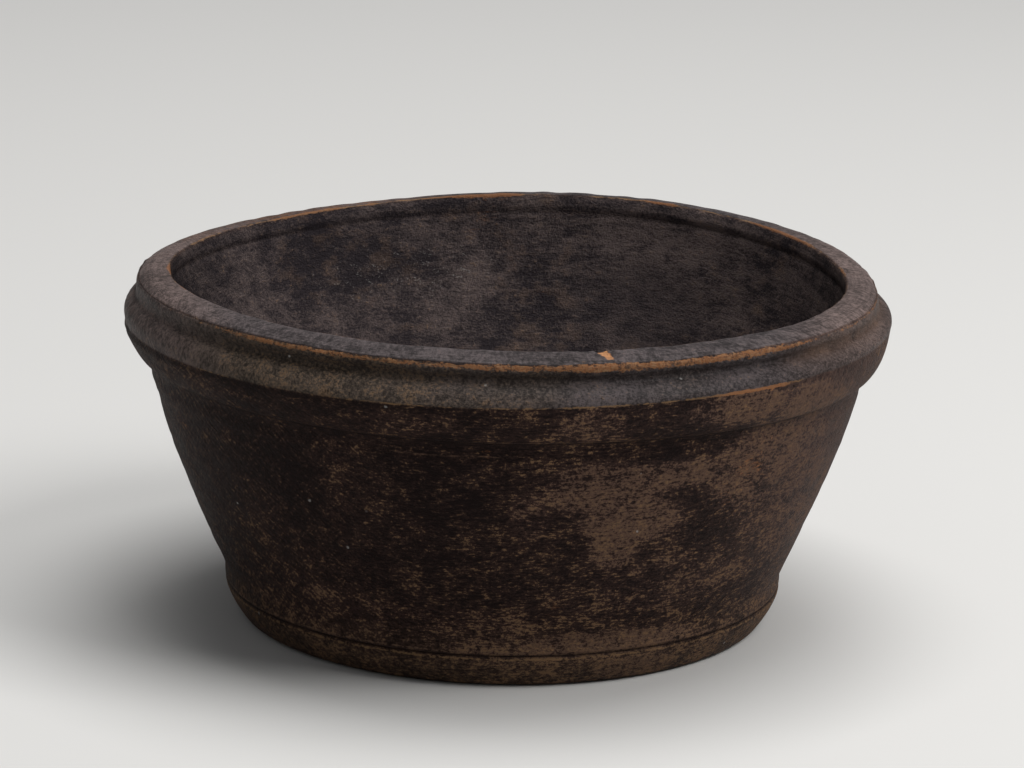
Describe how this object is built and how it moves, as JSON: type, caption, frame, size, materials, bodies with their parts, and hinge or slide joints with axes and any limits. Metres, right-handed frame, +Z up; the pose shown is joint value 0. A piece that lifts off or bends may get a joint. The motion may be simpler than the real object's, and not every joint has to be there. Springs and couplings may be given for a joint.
{
  "type": "carved wooden bowl",
  "caption": "Deep round bowl carved from a block of dark hardwood, with a flat lip, a rounded collar under it, tapering sides and a flat foot to stand on.",
  "frame": {"origin": "centre of the plane that the foot stands on", "axes": "+Z up along the bowl's axis; +X to the right and +Y away, as seen from the side with the chipped lip"},
  "size_m": [0.28, 0.28, 0.1304],
  "materials": {
    "bowl_wood": "near-black brown patina, satin, rubbed to tan on the edges and in worn patches"
  },
  "bodies": {
    "root": {"bowl": "bowl_wood"}
  },
  "joints": []
}
